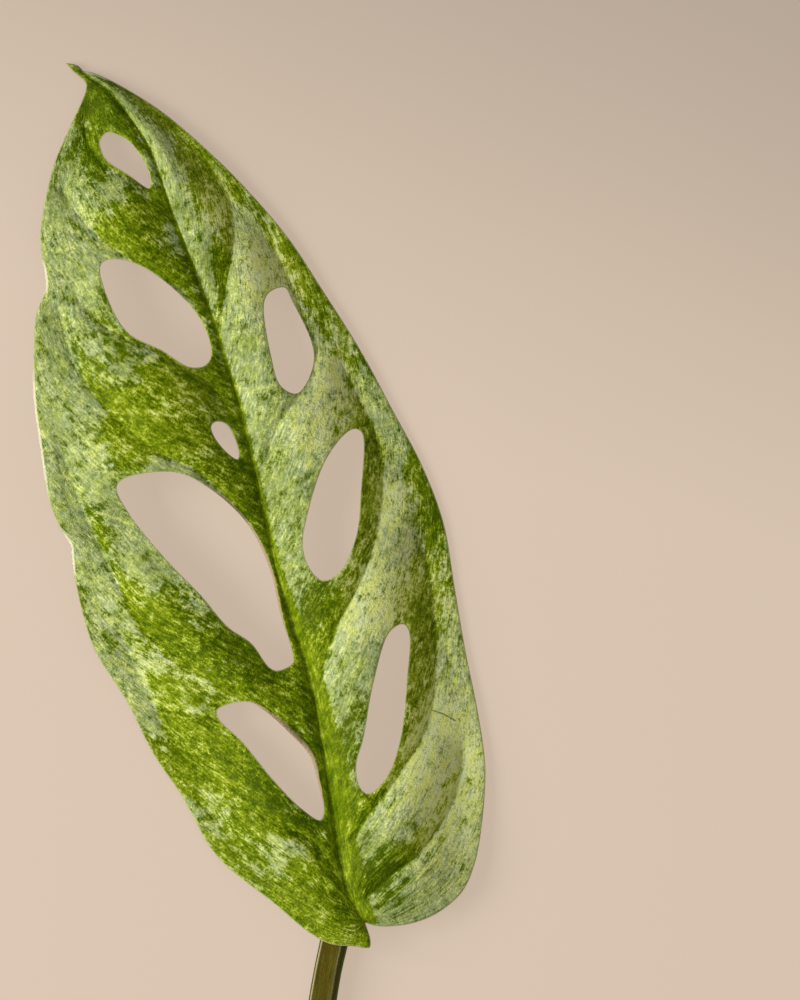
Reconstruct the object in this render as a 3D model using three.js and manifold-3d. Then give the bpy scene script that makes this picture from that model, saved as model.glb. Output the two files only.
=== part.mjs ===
// A single picked leaf of a Swiss cheese vine, lying face up on a flat surface.
//
// Millimetres. +X is to the right of the leaf, +Y runs from its base to its tip and +Z is
// up. The leaf is drawn on a plan whose zero is the notch where the stalk meets the blade,
// and is moved at the end so that the origin is under the middle of its bounding box.
// A leaf grows as one piece, so the blade, its ribs and its stalk are one solid.

import * as THREE from 'three';
import { mergeVertices } from 'three/addons/utils/BufferGeometryUtils.js';
import Module from 'manifold-3d';

const wasm = await Module();
wasm.setup();

// ---- Driving dimensions ----------------------------------------------------------

const BLADE_THICKNESS = 0.6;

// How far each half stands up between midrib and margin, as a share of its width.
const LEFT_CREST = 0.17;
const RIGHT_CREST = 0.21;

// The surface sinks at the side veins and stands up as a pillow between them.
const PILLOW_DEPTH = 1.1;
const PILLOW_REACH = 3.2;

// The midrib stands proud of the underside as a keel, deepest at the stalk.
const KEEL_DEPTH_AT_BASE = 2.2;
const KEEL_DEPTH_AT_TIP = 0.3;
const KEEL_HALF_WIDTH_AT_BASE = 2.0;
const KEEL_HALF_WIDTH_AT_TIP = 0.6;
const VEIN_RIDGE_DEPTH = 0.5;
const VEIN_RIDGE_REACH = 0.9;

// The stalk: a swollen joint under the blade, a slim neck and a wider cut end.
const STALK_RADII = [2.3, 2.6, 2.35, 2.3, 2.4, 2.55, 2.8];
const STALK_CHANNEL = 0.16;
const STALK_CHANNEL_SPREAD = 0.55;
const STALK_SIDES = 14;
const STALK_STEPS = 30;

// ---- Plan of the leaf: [x, y] or, where a height is needed, [x, y, z] --------------

const MIDRIB = [
  [-1.5, 151.5, 0.6], [1, 148.5, 0.8], [4, 144.5, 1.6], [7.5, 133.5, 3.6], [8, 121, 4.8],
  [9, 107, 5.2], [9, 90, 5.0], [7, 64, 4.6], [6.5, 41.5, 4.6], [4, 21.5, 5.3],
  [2, 7, 6.1], [3, -0.5, 6.3],
];

const RIGHT_MARGIN = [
  [-1.5, 151.5, 0.6], [0, 150.5, 0.8], [6.5, 144.5, 1.1], [16.5, 130.5, 1.2],
  [25, 112.5, 0.8], [31, 90.5, 0.4], [35, 69, 0.1], [35.5, 59, 0], [32.5, 37, 0.1],
  [30, 18.5, 0.8], [23.5, 3.5, 2.6], [20, -0.5, 3.4], [11.5, -3, 4.8], [3, -0.5, 6.3],
];

const LEFT_MARGIN = [
  [-1.5, 151.5, 0.6], [-0.5, 149, 0.8], [0.5, 147.5, 1.0], [-1, 144.5, 1.6], [-9, 135, 3.5],
  [-14, 125.5, 5.0], [-15.5, 116, 6.5], [-20.5, 108, 7.0], [-24.5, 92.5, 7.0],
  [-26, 81.5, 6.2], [-25, 74, 5.6], [-26.5, 60, 3.6], [-24, 46.5, 1.4], [-20, 28.5, 0.3],
  [-17.5, 17.5, 1.4], [-10.5, 7, 4.4], [-3.5, -2, 7.2], [2, -4.5, 7.6], [3, -3.5, 7.5],
  [3, -0.5, 6.3],
];

const HOLES = [
  [[0, 137], [2.5, 137.5], [6, 131], [5.5, 127], [3, 130], [0, 134]],
  [[-6, 117], [-1, 116], [3.5, 111], [7, 103.5], [6, 96.5], [3, 96.5], [-0.5, 100.5],
    [-5, 105], [-6.5, 112]],
  [[3.5, 86], [6, 85.5], [6, 79.5], [3.5, 84]],
  [[-14.5, 81], [-13, 82], [-4.5, 80.5], [1.5, 73.5], [5.5, 61.5], [5, 50], [3.5, 44],
    [1, 44.5], [-1, 49.5], [-6.5, 59.5], [-10.5, 67.5], [-14, 76.5]],
  [[-10, 40.5], [-4.5, 40.5], [0.5, 33.5], [2.5, 24.5], [1, 18], [-4.5, 27], [-7.5, 34.5]],
  [[18, 103], [22, 104.5], [23.5, 95], [20.5, 88], [17.5, 87.5], [16.5, 94.5]],
  [[27, 77.5], [24, 78], [14.5, 67.5], [12, 60], [15, 56], [21, 61.5], [24, 68.5]],
  [[24.5, 43.5], [21.5, 44.5], [12, 29], [9, 21.5], [10, 20], [17.5, 26.5], [22, 36.5]],
];

const SIDE_VEINS = [
  [[9, 94], [12.5, 107], [17.5, 121], [13.5, 134.5]],
  [[7.5, 71], [15.5, 84], [24, 93], [22, 113]],
  [[7, 37], [13.5, 48], [25, 62], [29, 76], [27.5, 89]],
  [[2, 10.5], [12, 19.5], [23, 28], [29, 43], [31, 57.5]],
  [[2, 3], [10, 6], [22.5, 13.5], [27, 21.5]],
  [[8.5, 119], [3.5, 129], [-0.5, 133], [-1.5, 141.5]],
  [[9, 102.5], [5.5, 109], [-5, 121.5], [-8.5, 131.5]],
  [[8.5, 82.5], [1.5, 97.5], [-6.5, 105], [-11.5, 114]],
  [[6.5, 60], [1.5, 75], [-11.5, 93], [-15, 111]],
  [[3.5, 23.5], [-1.5, 38], [-15, 52.5], [-19, 69.5], [-21.5, 89]],
  [[1.5, 7.5], [-5, 19], [-16.5, 32.5], [-21, 46.5], [-21.5, 59]],
  [[1.5, 3.5], [-6.5, 11.5], [-14.5, 21], [-17.5, 26.5]],
];

const STALK = [
  [1.6, 6, 4.4], [-0.7, 1.9, 3.7], [-3.2, -2.5, 3.0], [-5.6, -6.7, 2.5],
  [-9, -13.5, 2.4], [-17, -32, 2.55], [-24, -60, 2.8],
];

// ---- Curves and the heights they carry --------------------------------------------

const SAMPLE_SPACING = 1.5;

function samplesAlong(points) {
  const knots = points.map(([x, y, z = 0]) => new THREE.Vector3(x, y, z));
  const curve = new THREE.CatmullRomCurve3(knots, false, 'centripetal');
  return curve.getSpacedPoints(Math.ceil(curve.getLength() / SAMPLE_SPACING));
}

const midribSamples = samplesAlong(MIDRIB);
const rightSamples = samplesAlong(RIGHT_MARGIN);
const leftSamples = samplesAlong(LEFT_MARGIN);
const veinSamples = SIDE_VEINS.map(samplesAlong);

function distanceToSegment(x, y, a, b) {
  const dx = b.x - a.x;
  const dy = b.y - a.y;
  const along = ((x - a.x) * dx + (y - a.y) * dy) / (dx * dx + dy * dy);
  const t = THREE.MathUtils.clamp(along, 0, 1);
  return Math.hypot(x - a.x - t * dx, y - a.y - t * dy);
}

function distanceTo(samples, x, y) {
  let nearest = Infinity;
  for (let i = 1; i < samples.length; i += 1) {
    nearest = Math.min(nearest, distanceToSegment(x, y, samples[i - 1], samples[i]));
  }
  return nearest;
}

// The height of a curve as felt at a point beside it: the closer a sample, the more it counts.
function heightFrom(samples, x, y) {
  let weights = 0;
  let sum = 0;
  for (const sample of samples) {
    const weight = 1 / (Math.hypot(x - sample.x, y - sample.y) ** 4 + 1e-3);
    weights += weight;
    sum += weight * sample.z;
  }
  return sum / weights;
}

// ---- The blade's surface ------------------------------------------------------------

function nearestVein(x, y) {
  return Math.min(...veinSamples.map((samples) => distanceTo(samples, x, y)));
}

function topHeight(x, y, side) {
  const margin = side > 0 ? rightSamples : leftSamples;
  const fromMidrib = distanceTo(midribSamples, x, y);
  const fromMargin = distanceTo(margin, x, y);
  const width = fromMidrib + fromMargin;
  const share = width > 0 ? fromMidrib / width : 0;
  const edge = heightFrom(margin, x, y);
  const middle = heightFrom(midribSamples, x, y);
  const base = THREE.MathUtils.lerp(middle, edge, THREE.MathUtils.smoothstep(share, 0, 1));
  const crest = side > 0 ? RIGHT_CREST : LEFT_CREST;
  const valley = Math.exp(-nearestVein(x, y) / PILLOW_REACH);
  const fade = Math.min(1, fromMidrib / PILLOW_REACH) * Math.min(1, fromMargin / PILLOW_REACH);
  return base + crest * width * Math.sin(Math.PI * share) - PILLOW_DEPTH * valley * fade;
}

function keelDepth(x, y) {
  const towardsTip = THREE.MathUtils.clamp(y / MIDRIB[0][1], 0, 1);
  const depth = THREE.MathUtils.lerp(KEEL_DEPTH_AT_BASE, KEEL_DEPTH_AT_TIP, towardsTip);
  const reach = THREE.MathUtils.lerp(KEEL_HALF_WIDTH_AT_BASE, KEEL_HALF_WIDTH_AT_TIP, towardsTip);
  const keel = depth * Math.exp(-((distanceTo(midribSamples, x, y) / reach) ** 2));
  const ridge = VEIN_RIDGE_DEPTH * Math.exp(-((nearestVein(x, y) / VEIN_RIDGE_REACH) ** 2));
  return Math.max(keel, ridge);
}

// ---- The blade's grid: rows from tip to notch, columns from midrib to margin ----------

const ROWS = 58;
const COLUMN_SHARES = [0, 0.05, 0.11, 0.2, 0.31, 0.43, 0.55, 0.67, 0.79, 0.9, 1];

function curveOf(samples) {
  return new THREE.CatmullRomCurve3(samples, false, 'centripetal');
}

function halfPlan(samples, side) {
  const middle = curveOf(midribSamples).getSpacedPoints(ROWS);
  const margin = curveOf(samples).getSpacedPoints(ROWS);
  return middle.map((point, row) => COLUMN_SHARES.map((share) => {
    const x = THREE.MathUtils.lerp(point.x, margin[row].x, share);
    const y = THREE.MathUtils.lerp(point.y, margin[row].y, share);
    return { x, y, z: topHeight(x, y, side) };
  }));
}

// Both halves as one sheet of corners and triangles, with shared corners joined.
function bladeSheet() {
  const corners = [];
  const lookup = new Map();
  const triangles = [];
  const cornerOf = (point) => {
    const key = `${point.x.toFixed(3)} ${point.y.toFixed(3)}`;
    if (!lookup.has(key)) {
      lookup.set(key, corners.length);
      corners.push(point);
    }
    return lookup.get(key);
  };
  const addTriangle = (a, b, c) => {
    if (a !== b && b !== c && c !== a) triangles.push([a, b, c]);
  };
  for (const [samples, side] of [[rightSamples, 1], [leftSamples, -1]]) {
    const rows = halfPlan(samples, side).map((row) => row.map(cornerOf));
    for (let row = 1; row < rows.length; row += 1) {
      for (let column = 1; column < COLUMN_SHARES.length; column += 1) {
        const a = rows[row - 1][column - 1];
        const b = rows[row][column - 1];
        const c = rows[row][column];
        const d = rows[row - 1][column];
        const turn = side > 0 ? [[a, b, c], [a, c, d]] : [[a, c, b], [a, d, c]];
        turn.forEach((triangle) => addTriangle(...triangle));
      }
    }
  }
  return { corners, triangles };
}

// Edges that only one triangle uses, in the direction that triangle runs them.
function openEdges(triangles) {
  const edges = new Map();
  for (const [a, b, c] of triangles) {
    for (const [from, to] of [[a, b], [b, c], [c, a]]) {
      if (!edges.delete(`${to} ${from}`)) edges.set(`${from} ${to}`, [from, to]);
    }
  }
  return [...edges.values()];
}

function bladeSolid() {
  const { corners, triangles } = bladeSheet();
  const below = corners.length;
  const positions = corners.flatMap(({ x, y, z }) => [x, y, z]);
  for (const { x, y, z } of corners) {
    positions.push(x, y, z - BLADE_THICKNESS - keelDepth(x, y));
  }
  const faces = triangles.flatMap(([a, b, c]) => [a, b, c, below + a, below + c, below + b]);
  for (const [from, to] of openEdges(triangles)) {
    faces.push(to, from, below + from, to, below + from, below + to);
  }
  return solidFrom(positions, faces);
}

// ---- Holes and stalk -----------------------------------------------------------------

const HOLE_POINTS_PER_KNOT = 3;
const CUTTER_BOTTOM = -10;
const CUTTER_HEIGHT = 40;

function holeCutter(knots) {
  const points = knots.map(([x, y]) => new THREE.Vector3(x, y, 0));
  const curve = new THREE.CatmullRomCurve3(points, true, 'centripetal');
  const outline = curve.getPoints(knots.length * HOLE_POINTS_PER_KNOT).slice(0, -1);
  const shape = new THREE.Shape(outline.map(({ x, y }) => new THREE.Vector2(x, y)));
  const options = { depth: CUTTER_HEIGHT, bevelEnabled: false };
  const geometry = new THREE.ExtrudeGeometry(shape, options);
  geometry.translate(0, 0, CUTTER_BOTTOM);
  return solidOf(geometry);
}

function stalkRadius(along) {
  const place = along * (STALK_RADII.length - 1);
  const index = Math.min(Math.floor(place), STALK_RADII.length - 2);
  return THREE.MathUtils.lerp(STALK_RADII[index], STALK_RADII[index + 1], place - index);
}

// One cross-section of the stalk: round, with a shallow channel along its upper side.
function stalkRing(curve, along) {
  const centre = curve.getPointAt(along);
  const ahead = curve.getTangentAt(along);
  const side = new THREE.Vector3(-ahead.y, ahead.x, 0).normalize();
  const up = new THREE.Vector3().crossVectors(ahead, side);
  return Array.from({ length: STALK_SIDES }, (_, i) => {
    const angle = (i / STALK_SIDES) * 2 * Math.PI;
    const fromTop = Math.acos(THREE.MathUtils.clamp(Math.sin(angle), -1, 1));
    const channel = STALK_CHANNEL * Math.exp(-((fromTop / STALK_CHANNEL_SPREAD) ** 2));
    const radius = stalkRadius(along) * (1 - channel);
    return centre.clone()
      .addScaledVector(side, radius * Math.cos(angle))
      .addScaledVector(up, radius * Math.sin(angle));
  });
}

function stalkSolid() {
  const knots = STALK.map(([x, y, z]) => new THREE.Vector3(x, y, z));
  const curve = new THREE.CatmullRomCurve3(knots, false, 'centripetal');
  const rings = Array.from({ length: STALK_STEPS + 1 }, (_, i) => stalkRing(curve, i / STALK_STEPS));
  const positions = rings.flat().flatMap(({ x, y, z }) => [x, y, z]);
  const faces = [];
  for (let i = 0; i < STALK_STEPS; i += 1) {
    for (let j = 0; j < STALK_SIDES; j += 1) {
      const a = i * STALK_SIDES + j;
      const b = i * STALK_SIDES + ((j + 1) % STALK_SIDES);
      faces.push(a, b, b + STALK_SIDES, a, b + STALK_SIDES, a + STALK_SIDES);
    }
  }
  const last = STALK_STEPS * STALK_SIDES;
  for (let j = 1; j < STALK_SIDES - 1; j += 1) {
    faces.push(0, j + 1, j, last, last + j, last + j + 1);
  }
  return solidFrom(positions, faces);
}

// ---- Between three.js geometry and solids that can be joined and cut ------------------

function solidFrom(positions, faces) {
  return new wasm.Manifold(new wasm.Mesh({
    numProp: 3,
    vertProperties: new Float32Array(positions),
    triVerts: new Uint32Array(faces),
  }));
}

function solidOf(geometry) {
  geometry.deleteAttribute('normal');
  geometry.deleteAttribute('uv');
  const merged = mergeVertices(geometry);
  return solidFrom(merged.attributes.position.array, merged.index.array);
}

function geometryOf(solid) {
  const { vertProperties, triVerts } = solid.getMesh();
  const geometry = new THREE.BufferGeometry();
  geometry.setAttribute('position', new THREE.BufferAttribute(vertProperties, 3));
  geometry.setIndex(new THREE.BufferAttribute(triVerts, 1));
  geometry.computeVertexNormals();
  return geometry;
}

// ---- The leaf ---------------------------------------------------------------------------

const openBlade = HOLES.map(holeCutter).reduce((blade, hole) => blade.subtract(hole), bladeSolid());
const leafGeometry = geometryOf(openBlade.add(stalkSolid()));
leafGeometry.computeBoundingBox();
const { min, max } = leafGeometry.boundingBox;
leafGeometry.translate(-(min.x + max.x) / 2, -(min.y + max.y) / 2, -min.z);

const leafMaterial = new THREE.MeshStandardMaterial({
  color: 0x7c9a4e,
  roughness: 0.5,
  metalness: 0,
});
const leaf = new THREE.Mesh(leafGeometry, leafMaterial);
leaf.name = 'monstera_leaf';

const part = new THREE.Group();
part.add(leaf);

export default part;
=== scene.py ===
import math

import bpy
import numpy as np
from mathutils import Euler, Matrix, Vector
from mathutils.geometry import delaunay_2d_cdt
from mathutils.kdtree import KDTree
from mathutils.noise import noise as smooth_noise


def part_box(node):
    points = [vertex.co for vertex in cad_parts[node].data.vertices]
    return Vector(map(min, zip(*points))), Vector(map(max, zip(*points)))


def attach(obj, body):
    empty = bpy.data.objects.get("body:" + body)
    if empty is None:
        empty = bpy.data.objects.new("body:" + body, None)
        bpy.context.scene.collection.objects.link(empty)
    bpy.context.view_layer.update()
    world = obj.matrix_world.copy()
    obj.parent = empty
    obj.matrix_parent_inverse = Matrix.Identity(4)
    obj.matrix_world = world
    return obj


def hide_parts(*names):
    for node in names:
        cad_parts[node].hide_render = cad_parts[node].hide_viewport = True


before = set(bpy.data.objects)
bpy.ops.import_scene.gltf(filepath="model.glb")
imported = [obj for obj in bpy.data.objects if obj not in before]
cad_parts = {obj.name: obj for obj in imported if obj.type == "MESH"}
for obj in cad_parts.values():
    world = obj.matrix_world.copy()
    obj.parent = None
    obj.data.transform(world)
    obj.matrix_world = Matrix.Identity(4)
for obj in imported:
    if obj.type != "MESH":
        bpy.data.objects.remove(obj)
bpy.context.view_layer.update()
scene = bpy.context.scene

# ---- Table, daylight and camera ----
# The picked leaf lies on a plain matt table top. A big window on its left rakes across the
# blade, and the camera hangs straight above it, turned so that the leaf leans to the left.

MM = 0.001
leaf_low, leaf_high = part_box("monstera_leaf")

# The leaf is drawn in millimetres from the notch where the stalk meets the blade. Its right
# margin and its tip reach this far from there, which places the notch in the frame.
NOTCH_TO_RIGHT = 35.54
NOTCH_TO_TIP = 151.5
NOTCH = Vector((leaf_high.x / MM - NOTCH_TO_RIGHT, leaf_high.y / MM - NOTCH_TO_TIP, 0.0))

VIEW_CENTRE = Vector((29.7, 64.9, 5.0))
VIEW_HEIGHT = 166.7
VIEW_DISTANCE = 1000.0
VIEW_TURN = math.radians(-17.5)
SENSOR = 36.0


def placed(plan_point):
    """A point of the leaf's own drawing, in millimetres, as a place in the frame in metres."""
    return (Vector(plan_point) + NOTCH) * MM


camera = bpy.data.objects.new("camera", bpy.data.cameras.new("camera"))
camera.data.sensor_width = SENSOR
camera.data.lens = SENSOR * VIEW_DISTANCE / VIEW_HEIGHT
camera.location = placed(VIEW_CENTRE + Vector((0, 0, VIEW_DISTANCE)))
camera.rotation_euler = Euler((0, 0, VIEW_TURN))
scene.collection.objects.link(camera)
scene.camera = camera


def add_window(name, bearing, height, distance, size, power, colour):
    """A square soft light at a compass bearing and a height in degrees, aimed at the leaf."""
    lamp = bpy.data.objects.new(name, bpy.data.lights.new(name, "AREA"))
    lamp.data.size = size
    lamp.data.energy = power
    lamp.data.color = colour
    turn = math.radians(bearing)
    rise = math.radians(height)
    away = Vector((math.sin(turn) * math.cos(rise), math.cos(turn) * math.cos(rise), math.sin(rise)))
    lamp.location = placed(VIEW_CENTRE) + away * distance
    lamp.rotation_euler = away.to_track_quat("Z", "Y").to_euler()
    scene.collection.objects.link(lamp)


add_window("side_window", -78, 38, 0.9, 0.6, 11.5, (1.0, 0.98, 0.96))
add_window("room_light", 110, 70, 1.2, 1.2, 2.0, (1.0, 0.95, 0.88))

world = bpy.data.worlds.new("room")
world.use_nodes = True
world.node_tree.nodes["Background"].inputs["Color"].default_value = (1.0, 0.95, 0.9, 1.0)
world.node_tree.nodes["Background"].inputs["Strength"].default_value = 0.24
scene.world = world
scene.view_settings.view_transform = "Standard"


def add_node(tree, kind, settings=None, **values):
    """A shader node with its settings and its unlinked or linked inputs, named by socket."""
    made = tree.nodes.new("ShaderNode" + kind)
    for key, value in (settings or {}).items():
        setattr(made, key, value)
    for key, value in values.items():
        socket = made.inputs[int(key[1:])] if key[1:].isdigit() else made.inputs[key.replace("_", " ")]
        if isinstance(value, bpy.types.NodeSocket):
            tree.links.new(value, socket)
        else:
            socket.default_value = value
    return made


def new_material(name):
    """The nodes of a new material and its Principled shader, which is already in place."""
    material = bpy.data.materials.get(name) or bpy.data.materials.new(name)
    material.use_nodes = True
    tree = material.node_tree
    return tree, tree.nodes["Principled BSDF"]


# The table top is a glowing sheet, as under a product on a shooting table: its glow is painted light
# that keeps shadows soft. Its tone is a painted pool of light, brightest at the lower left of the
# view.
TABLE_SIZE = 4.0
TABLE_PAINTED_LIT = (0.138, 0.111, 0.087, 1)
TABLE_PAINTED_DIM = (0.092, 0.075, 0.06, 1)
TABLE_PAINTED_GLOW = 3.8
PAINTED_LIGHT_SIDE = (-0.595, -0.803, 0.0)
DIM_UNTIL = -0.15
BRIGHT_FROM = -0.025

table_mesh = bpy.data.meshes.new("table_top")
half = TABLE_SIZE / 2
table_corners = [(-half, -half, 0), (half, -half, 0), (half, half, 0), (-half, half, 0)]
table_mesh.from_pydata(table_corners, [], [(0, 1, 2, 3)])
table = bpy.data.objects.new("table_top", table_mesh)
scene.collection.objects.link(table)
tree, shader = new_material("table_with_painted_light")
place = add_node(tree, "TexCoord").outputs["Object"]
side_of_view = add_node(tree, "VectorMath", {"operation": "DOT_PRODUCT"}, _0=place,
                        _1=PAINTED_LIGHT_SIDE).outputs["Value"]
painted_light_falloff = add_node(tree, "MapRange", {"interpolation_type": "SMOOTHSTEP"},
                      Value=side_of_view, From_Min=DIM_UNTIL, From_Max=BRIGHT_FROM)
clouds = add_node(tree, "TexNoise", Vector=place, Scale=14.0, Detail=3.0)
clouded = add_node(tree, "Math", {"operation": "MULTIPLY_ADD"}, _0=clouds.outputs["Fac"],
                   _1=0.1, _2=painted_light_falloff.outputs["Result"])
painted_light_tone = add_node(tree, "Mix", {"data_type": "RGBA"}, Factor=clouded.outputs[0],
                _6=TABLE_PAINTED_DIM, _7=TABLE_PAINTED_LIT)
# The painted light tone is both the table's colour and its glow.
tree.links.new(painted_light_tone.outputs[2], shader.inputs["Base Color"])
tree.links.new(painted_light_tone.outputs[2], shader.inputs["Emission Color"])
shader.inputs["Emission Strength"].default_value = TABLE_PAINTED_GLOW
shader.inputs["Roughness"].default_value = 0.9
table_mesh.materials.append(bpy.data.materials["table_with_painted_light"])

# ---- Blade ----
# The blade is a thin leathery sheet that grew with closed holes between its side veins. Its
# halves rise from the midrib and fall to the margins, and every side vein lies in a valley.

BLADE_THICKNESS = 0.5
EDGE_ROUNDING = 0.25
LEFT_CREST = 0.17
RIGHT_CREST = 0.18
PILLOW_DEPTH = 1.5
PILLOW_REACH = 3.2
GROOVE_DEPTH = 0.12
GROOVE_WIDTH = 0.45
RIPPLE_HEIGHT = 0.22
RIPPLE_SIZE = (7.0, 9.0)
PEBBLE_HEIGHT = 0.07
PEBBLE_SIZE = 2.4

# The channel over the midrib is widest at the stalk. Each width belongs to a share of the way
# from the notch to the tip, and the depth is a share of the width.
CHANNEL_AT = (0, 0.3, 0.5, 1)
CHANNEL_WIDTHS = (1.6, 1.3, 0.6, 0.5)
CHANNEL_DEPTH = 0.6

# The lower edges of the two big left holes roll down, away from the light.
ROLL_DEPTH = 2.2
ROLL_REACH = 4.0
ROLLED_DOWN = [[(-14, 76), (-6.5, 59.5), (-1, 49.5), (1.5, 44)], [(-10, 39), (-4.5, 27), (1, 18)]]

# The midrib and the margins run from the tip to the notch, each knot with its height.
MIDRIB = [
    (-1.7, 151.5, 0.6), (1, 148.5, 0.8), (4, 144.5, 1.6), (6, 139, 2.8), (7.5, 133.5, 3.6),
    (8, 121, 4.8), (9, 107, 5.2), (9, 90, 5.0), (7.5, 68.5, 4.7), (6.5, 59, 4.6),
    (6.5, 41.5, 4.6), (5.5, 32.5, 4.9), (4, 21.5, 5.3), (2.5, 12.5, 5.8), (1.8, 5.5, 6.1),
    (3, -0.5, 6.3),
]
RIGHT_MARGIN = [
    (-1.7, 151.5, 0.6), (-0.8, 151.1, 0.7), (0.1, 150.5, 0.8), (0.55, 149.8, 0.9), (0.8, 149.3, 0.9),
    (2, 148.7, 0.9), (3.4, 147.6, 1.0), (6.5, 144.5, 1.1), (11.5, 138.5, 1.2), (16.5, 130.5, 1.2),
    (20.5, 123, 1.0), (25, 112.5, 0.8), (28, 102, 0.6), (31, 90.5, 0.4), (33, 80, 0.2),
    (35, 69, 0.1), (35.5, 59, 0), (34, 48, 0), (32.5, 37, 0.1), (31.5, 27.5, 0.4), (30, 18.5, 0.8),
    (27.5, 11.5, 1.5), (23.5, 3.5, 2.6), (20, -0.5, 3.4), (15.5, -2.5, 4.2), (11.5, -3, 4.8),
    (7.5, -2.5, 5.4), (4.5, -1.5, 5.9), (3, -0.5, 6.3),
]
LEFT_MARGIN = [
    (-1.7, 151.5, 0.6), (-1, 149.9, 0.7), (-0.2, 148.6, 0.8), (0.4, 147.6, 1.0), (0.3, 146.4, 1.2),
    (-1, 144.5, 1.6), (-5, 140, 2.4), (-9, 135, 3.5), (-14, 125.5, 5.0), (-15, 121.5, 5.8),
    (-15.3, 118.5, 6.2), (-15.9, 116.1, 6.4), (-16.6, 115.3, 6.5), (-19, 112, 6.9),
    (-20.5, 108, 7.0), (-23, 100.5, 7.0), (-24.5, 92.5, 7.0), (-26, 81.5, 6.2), (-25.5, 77, 5.8),
    (-24.8, 74, 5.6), (-25.1, 72.8, 5.5), (-26, 68, 4.8), (-26.5, 57, 3.2), (-24, 46.5, 1.4),
    (-22.5, 37, 0.6), (-20, 28.5, 0.3), (-17.5, 17.5, 1.4), (-10.5, 7, 4.4), (-6.5, 1, 6.4),
    (-3.5, -2, 7.2), (0, -3.5, 7.5), (2.5, -4.5, 7.6), (3, -3.5, 7.5), (3, -0.5, 6.3),
]
HOLES = [
    [(0, 137), (1.5, 138), (2.5, 137.5), (4.5, 135.5), (6, 131), (6, 128), (5.5, 127),
     (3, 130), (0, 134)],
    [(-6, 117), (-4.5, 117.5), (-1, 116), (3.5, 111), (7, 103.5), (7, 97.5), (5.5, 96),
     (3, 96.5), (-0.5, 100.5), (-5, 105), (-6.5, 112)],
    [(3.5, 86), (4.5, 86.5), (6, 85.5), (6.5, 80.5), (6, 79.5), (5, 80.5), (3.5, 84)],
    [(-14.5, 81), (-13, 82), (-4.5, 80.5), (-0.5, 77), (4, 69.5), (5.5, 61.5), (5, 53),
     (4.5, 44.5), (3.5, 44), (1.5, 44), (0.5, 45), (-1, 49.5), (-4, 53.5), (-6.5, 59.5),
     (-10.5, 67.5), (-14, 76.5)],
    [(-10, 40.5), (-9, 41), (-4.5, 40.5), (-2.5, 38.5), (0.5, 33.5), (2.5, 29), (2.5, 24.5),
     (2, 19.5), (1, 18), (-1.5, 21), (-4.5, 27), (-7.5, 34.5), (-10, 39)],
    [(18, 103), (19.5, 104.5), (22, 104.5), (22.5, 102), (23.5, 95), (23, 91.5), (20.5, 88),
     (18.5, 87), (16.5, 89), (16.5, 94.5)],
    [(27, 77.5), (26, 78.5), (24, 78), (19.5, 74.5), (14.5, 67.5), (12, 62.5), (12, 58.5),
     (13.5, 56), (16.5, 56.5), (21, 61.5), (24, 68.5)],
    [(24.5, 43.5), (24, 45), (21.5, 44.5), (16.5, 37.5), (12, 29), (9.5, 25), (9, 21.5),
     (10, 20), (13.5, 21.5), (17.5, 26.5), (22, 36.5)],
]
SIDE_VEINS = {
    "right 1": [(9, 94), (10, 101.5), (12.5, 107), (16.5, 115), (17.5, 121), (16, 128),
                (13.5, 134.5)],
    "right 2": [(7.5, 71), (10.5, 78), (15.5, 84), (21, 88), (24, 93), (23.5, 99.5), (23, 106),
                (22, 113)],
    "right 3": [(7, 37), (9.5, 42.5), (13.5, 48), (19.5, 54), (25, 62), (28, 69), (29, 76),
                (27.5, 89)],
    "right 4": [(2, 10.5), (8.5, 16), (18, 23), (23, 28), (26.5, 35), (29, 43), (30.5, 50.5),
                (31, 57.5)],
    "right 5": [(2, 3), (6, 4), (10, 6), (15.5, 8), (19, 10.5), (22.5, 13.5), (25, 17),
                (27, 21.5)],
    "left 1": [(8.5, 119), (6.5, 124.5), (3.5, 129), (-0.5, 133), (-2, 138), (-1.5, 141.5)],
    "left 2": [(9, 102.5), (7.5, 104.5), (5.5, 109), (-2, 117.5), (-5, 121.5), (-7.5, 127.5),
               (-8.5, 131.5)],
    "left 3": [(8.5, 82.5), (5.5, 92.5), (1.5, 97.5), (-1.5, 101), (-6.5, 105), (-10, 109.5),
               (-11.5, 114)],
    "left 4": [(6.5, 60), (5.5, 64.5), (4, 70.5), (-1.5, 80), (-7, 85.5), (-11.5, 93),
               (-15, 101.5), (-15, 111)],
    "left 5": [(3.5, 23.5), (3.5, 28.5), (2, 33.5), (-6.5, 43), (-15, 52.5), (-18, 59.5),
               (-21, 78.5), (-21.5, 89)],
    "left 6": [(1.5, 7.5), (-1.5, 15.5), (-9, 22.5), (-16.5, 32.5), (-19, 40), (-21, 53),
               (-21.5, 59)],
    "left 7": [(1.5, 3.5), (-1.5, 7), (-6.5, 11.5), (-11, 15.5), (-14.5, 21), (-17.5, 26.5)],
}
# A short crack that healed on the lower right lobe.
SCAR = [(24.2, 29.9), (25.8, 28.7), (27.4, 27.0)]


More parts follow.
